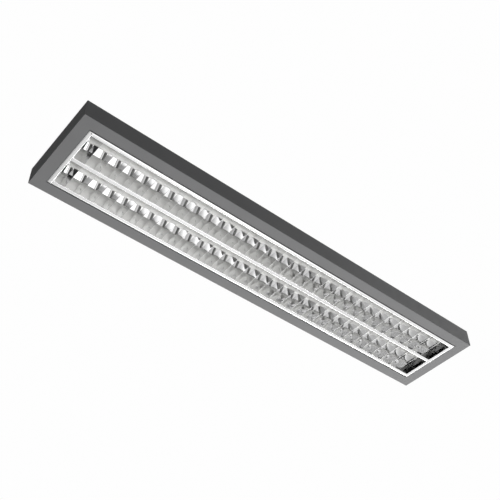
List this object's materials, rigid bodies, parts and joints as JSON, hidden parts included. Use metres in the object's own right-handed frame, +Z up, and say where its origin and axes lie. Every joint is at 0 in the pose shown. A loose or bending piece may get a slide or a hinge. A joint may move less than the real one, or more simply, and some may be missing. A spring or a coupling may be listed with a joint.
{
  "type": "surface mounted louvre ceiling light",
  "caption": "Long flat surface mounted ceiling light for slim fluorescent lamps, with a drop-down double parabolic mirror louvre.",
  "frame": {"origin": "centre of the back face, on the ceiling plane", "axes": "+X along the luminaire, +Y from the catch side to the hinge side of the louvre, +Z up into the ceiling; light leaves toward -Z"},
  "size_m": [1.24, 0.242, 0.05],
  "materials": {
    "housing_paint": "satin anthracite powder coat",
    "louvre_alu": "bright anodised mirror sheet",
    "mirror_alu": "bright anodised mirror sheet",
    "rivet_alu": "satin",
    "lamp_glass": "glossy, white phosphor inside",
    "cap_alu": "satin",
    "electrode": "dull",
    "brass": "satin",
    "tinned": "tinned",
    "zinc": "zinc plated",
    "zinc_bright": "zinc plated, bright",
    "spring_steel": "bright",
    "white_plastic": "moulded",
    "black_plastic": "moulded",
    "gear_white": "satin white",
    "board": "green laminate",
    "rubber": "matte",
    "wire_white": "insulation",
    "wire_brown": "insulation",
    "wire_blue": "insulation",
    "wire_green": "insulation, green and yellow"
  },
  "bodies": {
    "housing": {"ballast_base": "zinc", "ballast_board": "board", "ballast_case": "gear_white", "ballast_components": "black_plastic", "ballast_terminal_left": "white_plastic", "ballast_terminal_right": "white_plastic", "board_studs": "white_plastic", "cable_grommet": "rubber", "earth_nut": "brass", "earth_stud": "brass", "earth_tag": "tinned", "end_bracket_left": "zinc", "end_bracket_right": "zinc", "gear_screws": "zinc_bright", "housing_body": "housing_paint", "housing_end_left": "housing_paint", "housing_end_right": "housing_paint", "lamp_wires_left": "wire_white", "lamp_wires_right": "wire_white", "lampholder_contacts": "tinned", "lampholder_far_left": "white_plastic", "lampholder_far_right": "white_plastic", "lampholder_near_left": "white_plastic", "lampholder_near_right": "white_plastic", "mains_terminal": "white_plastic", "reflector_posts": "zinc", "reflector_screws": "zinc_bright", "terminal_barrels": "brass", "terminal_screws": "zinc_bright", "top_reflector": "mirror_alu", "wire_clips": "white_plastic", "wire_earth": "wire_green", "wire_live": "wire_brown", "wire_neutral": "wire_blue"},
    "louvre": {"blades_far": "louvre_alu", "blades_near": "louvre_alu", "catch_rivets": "rivet_alu", "catch_springs": "spring_steel", "centre_reflector": "louvre_alu", "corner_plates": "zinc", "corner_rivets": "rivet_alu", "hinge_pin_left": "zinc_bright", "hinge_pin_right": "zinc_bright", "louvre_end_left": "louvre_alu", "louvre_end_right": "louvre_alu", "side_reflector_far": "louvre_alu", "side_reflector_near": "louvre_alu"},
    "lamp_near": {"lamp_caps_near": "cap_alu", "lamp_electrodes_near": "electrode", "lamp_pins_near": "brass", "lamp_tube_near": "lamp_glass", "rotor_near_left": "white_plastic", "rotor_near_right": "white_plastic"},
    "lamp_far": {"lamp_caps_far": "cap_alu", "lamp_electrodes_far": "electrode", "lamp_pins_far": "brass", "lamp_tube_far": "lamp_glass", "rotor_far_left": "white_plastic", "rotor_far_right": "white_plastic"}
  },
  "joints": [
    {"name": "louvre_hinge", "type": "hinge", "parent": "housing", "child": "louvre", "pos_m": [0, 0.084, -0.0455], "axis": [1, 0, 0], "range_deg": [0, 88]},
    {"name": "lamp_near_twist", "type": "hinge", "parent": "housing", "child": "lamp_near", "pos_m": [0, -0.04243, -0.00985], "axis": [1, 0, 0], "range_deg": [0, 90]},
    {"name": "lamp_far_twist", "type": "hinge", "parent": "housing", "child": "lamp_far", "pos_m": [0, 0.04243, -0.00985], "axis": [1, 0, 0], "range_deg": [0, 90]}
  ]
}
